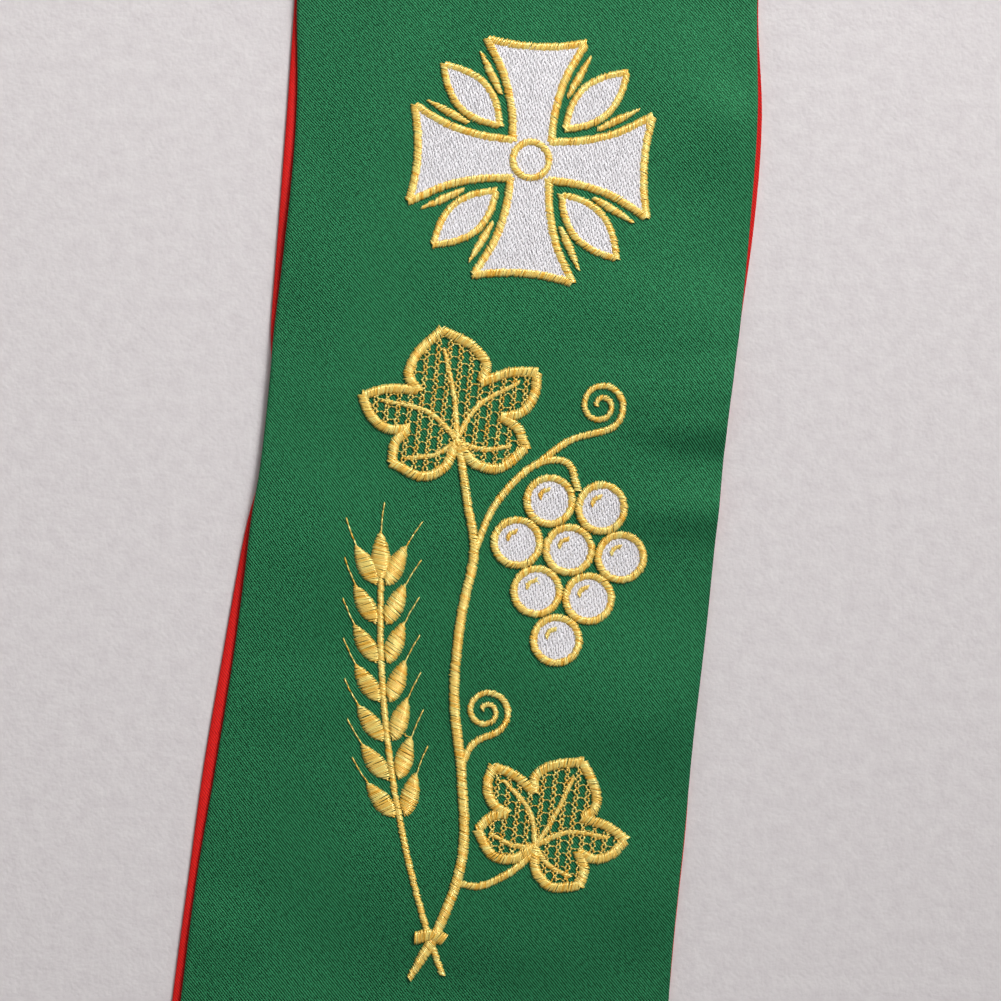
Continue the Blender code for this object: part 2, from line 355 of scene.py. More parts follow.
def twill(name, lit_ridge, shaded_valley, gleam, roughness, gloss, bump_height):
    """Twill cloth with ribs that slant down to the right on the face. Their backs are a painted
    highlight and their valleys are painted shade.
    """
    material, tree, shader = new_material(name)
    cut = add(tree, "ShaderNodeUVMap", uv_map="cut").outputs["UV"]
    turned = add(tree, "ShaderNodeMapping", {
        "Vector": cut, "Rotation": (0.0, 0.0, math.radians(45)),
    }).outputs["Vector"]
    rib_map = add(tree, "ShaderNodeVectorMath", {
        0: turned, 1: (1 / FLOAT_LENGTH, 1 / RIB_SPACING, 1.0),
    }, operation="MULTIPLY").outputs["Vector"]
    across_rib = add(tree, "ShaderNodeSeparateXYZ", {"Vector": rib_map}).outputs["Y"]
    wander = add(tree, "ShaderNodeTexNoise", {
        "Vector": cut, "Scale": 1 / RIB_WANDER, "Detail": 1.0,
    }).outputs["Fac"]
    bent = add(tree, "ShaderNodeMath", {0: wander, 1: 0.5, 2: across_rib}, operation="MULTIPLY_ADD")
    turns = add(tree, "ShaderNodeMath", {0: bent.outputs[0], 1: 2 * math.pi}, operation="MULTIPLY")
    wave = add(tree, "ShaderNodeMath", {0: turns.outputs[0]}, operation="SINE")
    rib = add(tree, "ShaderNodeMapRange", {
        "Value": wave.outputs[0], "From Min": -0.6, "From Max": 0.6,
    }).outputs["Result"]
    floats = add(tree, "ShaderNodeTexNoise", {
        "Vector": rib_map, "Scale": 0.9, "Detail": 2.0, "Roughness": 0.7,
    }).outputs["Fac"]
    uneven = add(tree, "ShaderNodeMapRange", {
        "Value": floats, "From Min": 0.3, "From Max": 0.7, "To Min": -0.4, "To Max": 0.4,
    }).outputs["Result"]
    tone = add(tree, "ShaderNodeMath", {0: rib, 1: uneven}, operation="ADD", use_clamp=True).outputs[0]
    # Painted light and shade: the lighter colour on each rib's back and the darker one in its valley.
    rib_colour_painted_lit_and_shaded = add(tree, "ShaderNodeMix", {0: tone, 6: linear(shaded_valley), 7: linear(lit_ridge)}, data_type="RGBA")
    relief = add(tree, "ShaderNodeBump", {
        "Height": tone, "Strength": 1.0, "Distance": bump_height,
    })
    shader.inputs["Roughness"].default_value = roughness
    shader.inputs["IOR"].default_value = YARN_INDEX
    shader.inputs["Specular IOR Level"].default_value = gloss
    shader.inputs["Specular Tint"].default_value = linear(gleam)
    tree.links.new(rib_colour_painted_lit_and_shaded.outputs[2], shader.inputs["Base Color"])
    tree.links.new(relief.outputs["Normal"], shader.inputs["Normal"])
    return material


green_twill = twill("green_polyester_twill", "2B7750", "000301", "78FFA8", 0.48, 0.42, 0.070 * MM)
red_twill = twill("red_polyester_twill", "EC1E16", "C20D0D", "FFFFFF", 0.55, 0.13, 0.05 * MM)
print("twill ribs every", round(RIB_SPACING / MM, 2), "mm")

# %% [markdown]
# Embroidery thread is smooth rayon or polyester, so it shines across its length and not along it. Real
# round threads give that by their shape alone. Rayon is clear and dyed through, so its gleam is golden
# too, and a small metallic share stands for that. Each stitch carries a number of its own, its shade,
# which moves its colour a little.

# %% Embroidery thread


def thread(name, deep, light, roughness, specular, metallic):
    """Smooth embroidery thread, with a small change of tone from stitch to stitch."""
    material, tree, shader = new_material(name)
    shade = add(tree, "ShaderNodeAttribute", attribute_name="shade").outputs["Fac"]
    colour = add(tree, "ShaderNodeMix", {0: shade, 6: linear(deep), 7: linear(light)}, data_type="RGBA")
    tree.links.new(colour.outputs[2], shader.inputs["Base Color"])
    shader.inputs["Roughness"].default_value = roughness
    shader.inputs["Specular IOR Level"].default_value = specular
    shader.inputs["Metallic"].default_value = metallic
    return material


gold_thread = thread("golden_rayon_thread", "F3BA3A", "FFEF90", 0.28, 1.0, 0.22)
white_thread = thread("white_polyester_thread", "EDE9EC", "F3F1F4", 0.5, 0.4, 0.0)
print("materials:", [material.name for material in (green_twill, red_twill, gold_thread, white_thread)])

# %% [markdown]
# The needlework is planned as paths before anything is sewn, because the cloth puckers beside them. A
# path is a smooth curve through a few points in millimetres. Its round stretches are worked out, and
# its corners are where two strokes meet, as an embroiderer would digitise it. Blender's own curves
# would do as well, but points in a table can be measured, mirrored and cut into stitches.

# %% Paths
PATH_STEP = 0.4


def curve(points, step=PATH_STEP):
    """Evenly spaced points on a smooth curve through the given ones."""
    p = np.array(points, float)
    p = np.vstack((2 * p[0] - p[1], p, 2 * p[-1] - p[-2]))
    t = np.linspace(0, 1, 24, endpoint=False)[:, None]
    pieces = []
    for a, b, c, d in zip(p[:-3], p[1:-2], p[2:-1], p[3:]):
        pieces.append(0.5 * (
            2 * b + (c - a) * t + (2 * a - 5 * b + 4 * c - d) * t**2 + (3 * b - a - 3 * c + d) * t**3
        ))
    dense = np.vstack(pieces + [p[-2][None, :]])
    return even(dense, step)


def even(path, step):
    """The same path with its points a step apart."""
    lengths = np.concatenate(((0.0,), np.cumsum(np.linalg.norm(np.diff(path, axis=0), axis=1))))
    count = max(int(round(lengths[-1] / step)), 2)
    s = np.linspace(0, lengths[-1], count + 1)
    return np.stack((np.interp(s, lengths, path[:, 0]), np.interp(s, lengths, path[:, 1])), axis=1)


def ring(radius, centre):
    count = max(int(2 * math.pi * radius / PATH_STEP), 8)
    angle = np.linspace(0, 2 * math.pi, count + 1)
    return np.stack((centre[0] + radius * np.cos(angle), centre[1] + radius * np.sin(angle)), axis=1)


def placed(path, centre=(0, 0), turn=0.0, mirror=False):
    """A path mirrored left to right, turned anticlockwise and moved, in that order."""
    p = np.array(path, float)
    if mirror:
        p[:, 0] *= -1
    c, s = math.cos(math.radians(turn)), math.sin(math.radians(turn))
    return p @ np.array(((c, s), (-s, c))) + np.array(centre)


satins = []         # path, width at each point or one width, layer
white_fills = []    # outline
nets = []           # outline
runs = []           # path of a single running thread


def satin(path, width, layer=0):
    satins.append((np.array(path), width, layer))


# %% [markdown]
# The upper motif is a plain cross with flared arms, white with a gold edge, and a pointed leaf between
# two thin rays in each corner. One arm and one leaf are drawn, and turned by a quarter three times.

# %% Cross with leaves and rays
CROSS_CENTRE = np.array((2.6, 326.0))
ARM, FLARE, WAIST = 33.0, 13.6, 5.2
CROSS_BORDER = 2.2
LEAF_BORDER = 1.9
RAY_TURN = 17.5      # degrees from the middle of its leaf
RING_RADIUS, RING_BORDER = 5.0, 1.7

outline = []
for quarter in range(4):
    turn = 90.0 * quarter
    side = curve([(WAIST, WAIST), (6.0, 14.0), (8.6, 23.5), (FLARE, ARM)])
    end = curve([
        (FLARE, ARM), (FLARE / 2, ARM - 1.2), (0, ARM - 1.6), (-FLARE / 2, ARM - 1.2), (-FLARE, ARM),
    ])
    other = placed(side, mirror=True)[::-1]
    for stroke in (side, end, other):
        satin(placed(stroke, CROSS_CENTRE, turn), CROSS_BORDER)
    outline.append(placed(np.vstack((side, end, other)), CROSS_CENTRE, turn))
white_fills.append(np.vstack(outline))

leaf_side = curve([(0, 13.0), (3.4, 18.5), (4.7, 24.5), (3.2, 30.5), (0, 36.0)])
ray = curve([(0, 20.5), (0, 33.0)])
ray_width = 1.7 * np.sin(np.linspace(0.35, math.pi, len(ray))) + 0.3
for quarter in range(4):
    turn = 45.0 + 90.0 * quarter
    both = [placed(leaf_side, CROSS_CENTRE, turn), placed(leaf_side, CROSS_CENTRE, turn, mirror=True)]
    for stroke in both:
        satin(stroke, LEAF_BORDER)
    white_fills.append(np.vstack((both[0], both[1][::-1])))
    for spread in (-RAY_TURN, RAY_TURN):
        satin(placed(ray, CROSS_CENTRE, turn + spread), ray_width)
satin(ring(RING_RADIUS, CROSS_CENTRE), RING_BORDER, layer=1)
print("cross:", len(satins), "satin strokes")

# %% [markdown]
# The lower motif is a vine with two leaves, a bunch of grapes and an ear of wheat. The leaves are open
# net inside a satin edge, the grapes are white with a gold edge, and the wheat is solid satin. The leaf,
# the grain and the tendril are helpers first, because each is sewn more than once.

# %% Leaf, grain and tendril
VEIN, VEIN_TIP = 1.4, 0.8
LEAF_EDGE = 2.5
TENDRIL, TENDRIL_TIP = 1.8, 1.1
SPIRAL_POINTS = 90
SPIRAL_EYE = 1.3     # radius at which a tendril's spiral ends
# Half a leaf that is one unit long: its edge, from notch to tip and on, and its veins.
LEAF_STROKES = [
    [(0.03, -0.20), (0.16, -0.42), (0.42, -0.50), (0.72, -0.32)],
    [(0.72, -0.32), (0.66, -0.10), (0.50, 0.04)],
    [(0.50, 0.04), (0.72, 0.06), (0.88, 0.22), (0.94, 0.46)],
    [(0.94, 0.46), (0.66, 0.50), (0.34, 0.44)],
    [(0.34, 0.44), (0.42, 0.62), (0.30, 0.84), (0.0, 1.06)],
]
LEAF_VEINS = [
    [(0.0, -0.18), (0.03, 0.3), (0.0, 0.84)],
    [(0.01, -0.12), (0.28, 0.20), (0.74, 0.38)],
    [(0.0, -0.16), (0.26, -0.28), (0.56, -0.28)],
]


def tendril(points, radius, turns, side):
    """A thin shoot that ends in a spiral to its left (side 1) or right (side -1)."""
    stem = curve(points)
    ahead = (stem[-1] - stem[-2]) / np.linalg.norm(stem[-1] - stem[-2])
    to_centre = side * np.array((-ahead[1], ahead[0]))
    turned = np.linspace(0, turns * 2 * math.pi, SPIRAL_POINTS)
    angle = math.atan2(-to_centre[1], -to_centre[0]) + side * turned
    reach = np.linspace(radius, SPIRAL_EYE, SPIRAL_POINTS)[:, None]
    spiral = stem[-1] + to_centre * radius + reach * np.stack((np.cos(angle), np.sin(angle)), axis=1)
    path = even(np.vstack((stem, spiral[1:])), PATH_STEP)
    satin(path, np.linspace(TENDRIL, TENDRIL_TIP, len(path)))


def vine_leaf(centre, turn, size):
    """Both halves of a leaf with five points: satin edge, satin veins and an open net inside."""
    right_side, left_side = [], []
    for stroke in LEAF_STROKES:
        path = curve(np.array(stroke) * size)
        right_side.append(placed(path, centre, turn))
        left_side.append(placed(path, centre, turn, mirror=True))
    nets.append(np.vstack(right_side + [path[::-1] for path in left_side[::-1]]))
    for path in right_side + left_side:
        satin(path, LEAF_EDGE, layer=1)
    for number, vein in enumerate(LEAF_VEINS):
        path = curve(np.array(vein) * size)
        width = np.linspace(VEIN, VEIN_TIP, len(path))
        satin(placed(path, centre, turn), width)
        if number > 0:
            satin(placed(path, centre, turn, mirror=True), width)


def grain(base, turn, length, width):
    """One grain of wheat: a satin leaf, widest below its middle, and its awn."""
    path = placed([(0, 0), (0.0, length * 0.5), (0.0, length)], base, turn)
    path = even(path, PATH_STEP)
    t = np.linspace(0, 1, len(path))
    satin(path, width * np.sin(math.pi * t**0.8) ** 0.75 + 0.35)
    runs.append(placed(curve([(0, length), (0.2, length + 4.0), (0.8, length + 8.5)]), base, turn))


# %% [markdown]
# The plant is set out from its own middle, across and along in millimetres, so it can be moved as one.
# Strokes that cross others get a higher layer, so they are sewn over them and not through them.

# %% Vine, leaves, grapes and wheat
VINE_CENTRE = np.array((3.0, 190.0))
STALK = 1.8
GRAPE, GRAPE_BORDER = 6.3, 1.8
GRAPE_STEP = 14.6
BUNCH_TOP = VINE_CENTRE + np.array((21.0, 43.0))
BUNCH_ROWS = (2, 3, 2, 1)
EAR_PAIRS = 7
BARE_STALK = 0.40                # share of the stalk below the first pair of grains
LAST_PAIR, TOP_PLACE = 12, 8     # points of the stalk above the last pair and above the top grain
GRAIN, TOP_GRAIN = (11.5, 4.6), (12.5, 4.8)     # length and width
GRAIN_LEAN = 27                  # degrees from the stalk

vine = curve(VINE_CENTRE + np.array([
    (-8, -94), (-1, -78), (3, -58), (0, -36), (-5, -14), (-6, 8), (-5, 26), (-9, 40), (-13.2, 54.5),
]))
satin(vine, np.interp(np.linspace(0, 1, len(vine)), (0, 0.05, 0.8, 1), (1.4, 2.6, 2.4, 1.8)), layer=1)
vine_leaf(VINE_CENTRE + (-15, 60), 14.0, 26.0)
vine_leaf(VINE_CENTRE + (24, -50), -22.0, 22.5)
petiole = curve(VINE_CENTRE + np.array([(2.8, -66), (9, -66), (17, -61), (22.6, -55)]))
satin(petiole, STALK)

stalk = curve(VINE_CENTRE + np.array([(-5.5, 24), (-1, 40), (8, 52), (17, 54), (21.2, 47)]))
satin(stalk, STALK)
for row, count in enumerate(BUNCH_ROWS):
    for k in range(count):
        centre = BUNCH_TOP + np.array(((k - (count - 1) / 2) * GRAPE_STEP, -row * GRAPE_STEP * 0.87))
        satin(ring(GRAPE, centre), GRAPE_BORDER, layer=1)
        white_fills.append(ring(GRAPE, centre))
        shine = centre + np.array([(-2.9, 0.6), (-2.2, 2.2), (-0.6, 3.0)])
        satin(curve(shine), 1.0, layer=1)

ear = curve(VINE_CENTRE + np.array([(1, -92), (-7, -74), (-15, -52), (-22, -28), (-27, -4), (-30, 18)]))
satin(ear[:-TOP_PLACE], 1.5)
first = int(len(ear) * BARE_STALK)
for k in range(EAR_PAIRS):
    i = first + int(k * (len(ear) - first - LAST_PAIR) / (EAR_PAIRS - 1))
    heading = math.degrees(math.atan2(*(ear[i + 1] - ear[i - 1])[::-1])) - 90
    for side in (-1, 1):
        base = ear[i] + side * placed([(1.6, 0)], turn=heading)[0]
        grain(base, heading - side * GRAIN_LEAN, *GRAIN)
heading = math.degrees(math.atan2(*(ear[-1] - ear[-3])[::-1])) - 90
grain(ear[-TOP_PLACE], heading, *TOP_GRAIN)

tendril(VINE_CENTRE + np.array([(-0.5, -34), (2, -27), (8, -23)]), 6.6, 1.6, 1)
tendril(VINE_CENTRE + np.array([(9, 52.5), (17, 60), (27, 64)]), 6.8, 1.7, 1)
knot = curve(VINE_CENTRE + np.array([(-7.5, -82.5), (-3.5, -81.2), (0.5, -82.0)]))
satin(knot, 3.2, layer=2)
stroke_points = np.vstack([even(path, 1.0) for path, width, layer in satins])
print("plan:", len(satins), "satin strokes,", len(white_fills), "white fills,", len(nets), "nets")

# %% [markdown]
# Cloth shows its thickness at a turned edge, which falls away in a small quarter circle, and close to
# needlework, where the tight stitches draw it in and it puckers. Both are too big for bump, because
# they change the outline and cast shadows, so they are heights, added to the folds.

# %% Turned edges and puckers
ROLL = 0.9                       # radius of a turned edge
UNDER_ROLL = 1.15                # the same on the reverse
NEEDLEWORK_ALONG = (90, 370)     # where there are stitches to pucker it
NEEDLEWORK_HALF = 60
DENT_DEPTH, DENT_WIDTH, DENT_PLACE = 0.14, 1.2, 1.4
RIPPLE_HEIGHT, RIPPLE_REACH = 0.10, 6.0
AT_A_TIME = 2000                 # places compared with all strokes at once, to save memory


def edge_drop(distance, radius=ROLL):
    """How far a turned edge falls below the sheet, at a distance from the very edge."""
    reach = np.clip(radius - distance, 0.0, radius)
    return radius - np.sqrt(np.clip(radius**2 - reach**2, 0.0, None))


def pucker(along, across):
    """Dents beside the stitches, and short ripples that run away from them."""
    height = np.zeros(along.shape)
    low, high = NEEDLEWORK_ALONG
    near = (along > low) & (along < high) & (np.abs(across) < NEEDLEWORK_HALF)
    spots = np.stack((across[near], along[near]), axis=1)
    distance = np.empty(len(spots))
    for start in range(0, len(spots), AT_A_TIME):
        part = spots[start:start + AT_A_TIME]
        gaps = np.linalg.norm(part[:, None, :] - stroke_points[None, :, :], axis=2)
        distance[start:start + AT_A_TIME] = gaps.min(axis=1)
    dent = -DENT_DEPTH * np.exp(-((distance - DENT_PLACE) / DENT_WIDTH) ** 2)
    fade = RIPPLE_HEIGHT * np.exp(-distance / RIPPLE_REACH)
    ripple = fade * np.sin(spots[:, 0] * 1.1 + 1.7 * np.sin(spots[:, 1] * 0.5))
    height[near] = dent + ripple * np.sin(spots[:, 1] * 0.9)
    return height


# %% [markdown]
# A sheet of cloth is one grid, laid on the band. Its columns run from the edge that is tucked into the
# seam, round the turned edge, over the band and down the other side, so the roll of each edge is real.
# Its rows run from the hem to the seam at the centre back, where each column is cut off. They are
# 1.6 mm apart where the photo looks, and coarser elsewhere. Simulated cloth would lie as it likes, and
# this lies as the photo shows.

# %% The places of a sheet's points
HEM_ROWS = [0.0, 0.1, 0.3, 0.6, 1.0, 1.8]     # close together, round the turned hem
SEAM_ROWS = (0.994, 0.997, 0.9988, 1.0)       # the same at the centre back, as shares of the neck
HALVINGS = 40                                 # steps in the search for the seam line
LEAST_BEAD = 0.5                              # its width where the reverse doesn't stand out
BEAD_RISE, MOST_RISE = 0.08, 0.18             # a wider bead stands higher, up to a limit


def row_distances(stretches):
    """Distances of the rows from the hem. A stretch is where it ends and how far apart its rows are."""
    rows = list(HEM_ROWS)
    for end, step in stretches:
        start = rows[-1]
        count = int(round((end - start) / step))
        rows += [start + (end - start) * (i + 1) / count for i in range(count)]
    return np.array(rows)


def sheet_places(band, piece, columns, stretches, neck_rows):
    """Along, across and height of every point of a sheet, in millimetres.

    columns: share of the half width, then inset and height, each with a part that grows with the
    bead of the reverse.
    """
    share, inset_bead, inset, height_bead, height = np.array(columns, float).T
    sign = np.where(share < 0, -1.0, 1.0)

    def bead(along):
        out = band.half("back", along, share) - band.half("face", along, share)
        return np.clip(out, 0.0, None) + LEAST_BEAD

    def across_at(along):
        inset_now = inset_bead * bead(along) + inset
        return share * band.half(piece, along, share) - sign * inset_now

    low, high = np.full(len(share), NECK_START), np.full(len(share), band.sections[-1, 0])
    for _ in range(HALVINGS):
        middle = (low + high) / 2
        x = (band.flat_place(middle, across_at(middle))[0] - band.shift[0]) * band.side
        low, high = np.where(x < -SEAM_GAP / 2, middle, low), np.where(x < -SEAM_GAP / 2, high, middle)
    body = row_distances(stretches)
    up = np.concatenate((np.linspace(0, 1, neck_rows + 1)[1:-1], SEAM_ROWS))
    along = np.vstack((
        np.repeat(body[:, None], len(share), axis=1),
        NECK_START + (low - NECK_START)[None, :] * up[:, None],
    ))
    across = across_at(along)
    rise = np.clip(BEAD_RISE * bead(along), 0.0, MOST_RISE)
    z = height_bead * rise + height + band.lift(along, across, back=piece == "back")
    if piece == "face":
        on_top = height >= FACE_TOP - 0.01
        to_seam = np.clip(low[None, :] - along, 0.0, None)
        z -= np.where(on_top, edge_drop(along) + 0.6 * edge_drop(to_seam), 0.0)
        if band is left:
            z += pucker(along, across) * on_top
    else:
        z += np.where(height <= 0.0, edge_drop(along, UNDER_ROLL), 0.0)
    return along, across, z


# %% [markdown]
# The grid is added flat, then each point is moved to its place, and Solidify gives it a thickness. Its
# UV map holds the cut in real size, so the ribs follow the cloth. On the right half across is counted
# the other way for the map, because its cloth isn't mirrored: the ribs slant alike on both halves.

# %% The mesh of a sheet
SHEET = 0.4           # thickness of the cloth itself


def cloth_sheet(name, band, piece, columns, stretches, neck_rows, material):
    """One sheet, from the columns, stretches and rows that sheet_places reads."""
    along, across, z = sheet_places(band, piece, columns, stretches, neck_rows)
    x, y = band.flat_place(along, across)
    rows, count = along.shape
    bpy.ops.object.select_all(action="DESELECT")
    bpy.ops.mesh.primitive_grid_add(x_subdivisions=count - 1, y_subdivisions=rows - 1, size=2)
    sheet = bpy.context.object
    sheet.name = name
    mesh = sheet.data
    mesh.name = name
    flat = np.empty(len(mesh.vertices) * 3, np.float32)
    mesh.vertices.foreach_get("co", flat)
    flat = flat.reshape(-1, 3)
    column = np.rint((flat[:, 0] + 1) / 2 * (count - 1)).astype(int)
    row = np.rint((flat[:, 1] + 1) / 2 * (rows - 1)).astype(int)
    spots = np.stack((x[row, column], y[row, column], z[row, column]), axis=1) * MM
    mesh.vertices.foreach_set("co", spots.astype(np.float32).ravel())
    cut = mesh.uv_layers[0]
    cut.name = "cut"
    corner = np.empty(len(mesh.loops), np.int32)
    mesh.loops.foreach_get("vertex_index", corner)
    places = np.stack((band.side * across[row, column], along[row, column]), axis=1)[corner] * MM
    cut.data.foreach_set("uv", places.astype(np.float32).ravel())
    if (piece == "back") != (band.side < 0):
        bpy.ops.object.mode_set(mode="EDIT")
        bpy.ops.mesh.select_all(action="SELECT")
        bpy.ops.mesh.flip_normals()
        bpy.ops.object.mode_set(mode="OBJECT")
    wall = sheet.modifiers.new("thickness", "SOLIDIFY")
    wall.thickness = SHEET * MM
    wall.offset = -1.0
    bpy.ops.object.modifier_apply(modifier=wall.name)
    sheet.data.materials.append(material)
    bpy.ops.object.shade_smooth()
    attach(sheet, "root")
    print(name, len(sheet.data.polygons), "faces")
    return sheet


# %% [markdown]
# The face is the green twill that carries the needlework. Each edge is turned under by 3 mm, and the
# fold has a radius of about a millimetre. A flat sheet with a bevel would look like card, so the turned
# edge is drawn as columns of its own. The left face is finer, because the photo shows it.

# %% Face
# Columns of the turned edge, from the inside out: inset from the edge, and drop below the top.
TURNED = [(3.0, 0.95), (1.0, 0.95), (0.3, 0.85), (0.05, 0.62), (0.0, 0.45), (0.08, 0.22), (0.3, 0.07)]
FINE_COLUMNS, COARSE_COLUMNS = 76, 24
FACE_NECK_ROWS = 34


def face_columns(middle_columns):
    outer = [(-1.0, 0.0, inset, 0.0, FACE_TOP - drop) for inset, drop in TURNED]
    outer += [(-1.0, 0.0, 0.7, 0.0, FACE_TOP), (-1.0, 0.0, 1.5, 0.0, FACE_TOP)]
    middle = [(share, 0.0, 0.0, 0.0, FACE_TOP) for share in np.linspace(-0.955, 0.955, middle_columns)]
    inner = [(1.0,) + column[1:] for column in outer[::-1]]
    return outer + middle + inner


face_left = cloth_sheet(
    "green_face_left", left, "face", face_columns(FINE_COLUMNS),
    [(84, 5), (388, 1.6), (NECK_START, 6)], FACE_NECK_ROWS, green_twill,
)
face_right = cloth_sheet(
    "green_face_right", right, "face", face_columns(COARSE_COLUMNS),
    [(NECK_START, 6)], FACE_NECK_ROWS, green_twill,
)
for sheet, node in ((face_left, "face_left"), (face_right, "face_right")):
    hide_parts(node)

# %% [markdown]
# The reverse. At the photo's left edge the seam has rolled to the face, so a bead of red shows there.
# The red sheet starts in the seam, rolls over the bead, lies flat underneath and comes up again. At the
# inner edge it is a narrow lip instead, which turns up a little and so away from the light.

# %% Reverse
BACK_NECK_ROWS = 26
UNDER = 0.45           # radius of the underside's edge
bead_angles = np.radians(np.linspace(172, 0, 9))
under_angles = np.radians(np.linspace(20, 90, 5))
roll = [(-1.0, (1 - math.cos(a)) / 2, 0.0, math.sin(a), UNDER + 0.4 * math.sin(a)) for a in bead_angles]
lip = [(-1.0, (1 - math.cos(a)) / 2, 0.0, 0.0, 0.48 + 0.18 * math.cos(a)) for a in bead_angles]
under = [(-1.0, 0.0, UNDER * (1 - math.cos(a)), 0.0, UNDER * (1 - math.sin(a))) for a in under_angles]
back_middle = [(share, 0.0, 0.0, 0.0, 0.0) for share in np.linspace(-0.95, 0.95, 13)]
back_columns = roll + under + back_middle + [(1.0,) + column[1:] for column in (lip + under)[::-1]]
back_left = cloth_sheet(
    "red_back_left", left, "back", back_columns,
    [(84, 7), (388, 3.5), (NECK_START, 8)], BACK_NECK_ROWS, red_twill,
)
back_right = cloth_sheet(
    "red_back_right", right, "back", back_columns,
    [(NECK_START, 8)], BACK_NECK_ROWS, red_twill,
)
for sheet, node in ((back_left, "back_left"), (back_right, "back_right")):
    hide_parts(node)

# %% [markdown]
# One stitch is modelled once: a thin round thread that comes up through the cloth, arches over and goes
# down again. It starts as a cylinder with few sides, is cut into rings, and the rings are moved on to
# the arch. A short one with fewer rings serves the net. Its length, thickness and arch are about 1, so
# each copy is sized in the three directions.

# %% One stitch
ARCH_RISE = 0.8
ROOT_DEPTH = 0.12    # how far its ends reach below the cloth


def model_stitch(name, segments, material, fullness, end_width):
    """A stitch that fills its arch more, or tapers less to its ends, as the numbers say."""
    bpy.ops.object.select_all(action="DESELECT")
    bpy.ops.mesh.primitive_cylinder_add(vertices=4, radius=0.5, depth=1.0, rotation=(0, math.pi / 2, 0))
    stitch = bpy.context.object
    stitch.name = name
    bpy.ops.object.transform_apply(location=True, rotation=True, scale=True)
    bpy.ops.object.mode_set(mode="EDIT")
    for k in range(1, segments):
        bpy.ops.mesh.select_all(action="SELECT")
        bpy.ops.mesh.bisect(plane_co=(k / segments - 0.5, 0, 0), plane_no=(1, 0, 0))
    bpy.ops.object.mode_set(mode="OBJECT")
    for vert in stitch.data.vertices:
        x, y, z = vert.co
        arch = 1.0 - abs(2 * x) ** fullness
        slim = end_width + (1.0 - end_width) * min(1.0, arch * 2.5)
        vert.co = (x, y * slim, z * 0.6 * slim + ARCH_RISE * arch - ROOT_DEPTH)
    stitch.data.materials.append(material)
    bpy.ops.object.shade_smooth()
    return stitch


# %% [markdown]
# Thousands of stitches are sewn from a list of where each goes in and comes out. Every stitch becomes
# one point, in the middle of its span, with a turn, a size and a shade. Particles would scatter them at
# random, but here each has its own place.

# %% Points to sew on
ROLL_SPREAD = 0.16     # radians by which threads are twisted
SHADE_SPREAD = 0.28
rng = np.random.default_rng(11)


def on_cloth(points, base):
    """Places on the face of the left band, in metres."""
    across, along = points[:, 0], points[:, 1]
    x, y = left.flat_place(along, across)
    z = FACE_TOP + left.lift(along, across) + base
    return np.stack((x, y, z), axis=1) * MM


def stitch_points(name, rows):
    """A mesh of points. rows: across and along at both ends, thread width, arch and base height."""
    start, end = on_cloth(rows[:, 0:2], rows[:, 6]), on_cloth(rows[:, 2:4], rows[:, 6])
    span = end - start
    length = np.linalg.norm(span, axis=1)
    yaw = np.arctan2(span[:, 1], span[:, 0])
    pitch = -np.arctan2(span[:, 2], np.hypot(span[:, 0], span[:, 1]))
    roll = rng.normal(0, ROLL_SPREAD, len(rows))
    mesh = bpy.data.meshes.new(name)
    mesh.vertices.add(len(rows))
    mesh.vertices.foreach_set("co", ((start + end) / 2).astype(np.float32).ravel())
    turn = mesh.attributes.new("turn", "FLOAT_VECTOR", "POINT")
    turn.data.foreach_set("vector", np.stack((roll, pitch, yaw), axis=1).astype(np.float32).ravel())
    size = mesh.attributes.new("size", "FLOAT_VECTOR", "POINT")
    sizes = np.stack((length, rows[:, 4] * MM, rows[:, 5] * MM), axis=1)
    size.data.foreach_set("vector", sizes.astype(np.float32).ravel())
    shade = mesh.attributes.new("shade", "FLOAT", "POINT")
    shades = np.clip(rng.normal(0.5, SHADE_SPREAD, len(rows)), 0, 1)
    shade.data.foreach_set("value", shades.astype(np.float32))
    return mesh


# %% [markdown]
# Geometry Nodes puts the modelled stitch on each point and makes the copies real. The modifier is
# applied, so a plain mesh is left, and a colour can still read each stitch's shade from it.

# %% Sewing


def sewing_nodes(name, stitch):
    """A node group that puts a copy of the stitch on every point."""
    tree = bpy.data.node_groups.new(name + "_sewing", "GeometryNodeTree")
    tree.interface.new_socket("Geometry", in_out="INPUT", socket_type="NodeSocketGeometry")
    tree.interface.new_socket("Geometry", in_out="OUTPUT", socket_type="NodeSocketGeometry")
    entry = add(tree, "NodeGroupInput")
    model = add(tree, "GeometryNodeObjectInfo", {"Object": stitch})
    angles = add(tree, "GeometryNodeInputNamedAttribute", {"Name": "turn"}, data_type="FLOAT_VECTOR")
    turned = add(tree, "FunctionNodeEulerToRotation", {"Euler": angles.outputs[0]})
    scale = add(tree, "GeometryNodeInputNamedAttribute", {"Name": "size"}, data_type="FLOAT_VECTOR")
    copies = add(tree, "GeometryNodeInstanceOnPoints", {
        "Points": entry.outputs[0], "Instance": model.outputs["Geometry"],
        "Rotation": turned.outputs[0], "Scale": scale.outputs[0],
    })
    real = add(tree, "GeometryNodeRealizeInstances", {"Geometry": copies.outputs[0]})
    add(tree, "NodeGroupOutput", {0: real.outputs[0]})
    return tree


def sew(name, rows, stitch):
    """One piece of needlework, from rows as stitch_points reads them."""
    piece = bpy.data.objects.new(name, stitch_points(name, rows))
    bpy.context.scene.collection.objects.link(piece)
    modifier = piece.modifiers.new("sewing", "NODES")
    modifier.node_group = sewing_nodes(name, stitch)
    bpy.ops.object.select_all(action="DESELECT")
    bpy.context.view_layer.objects.active = piece
    piece.select_set(True)
    bpy.ops.object.modifier_apply(modifier=modifier.name)
    for spare in ("turn", "size"):
        if spare in piece.data.attributes:
            piece.data.attributes.remove(piece.data.attributes[spare])
    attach(piece, "root")
    print(name, len(rows), "stitches,", len(piece.data.polygons), "faces")


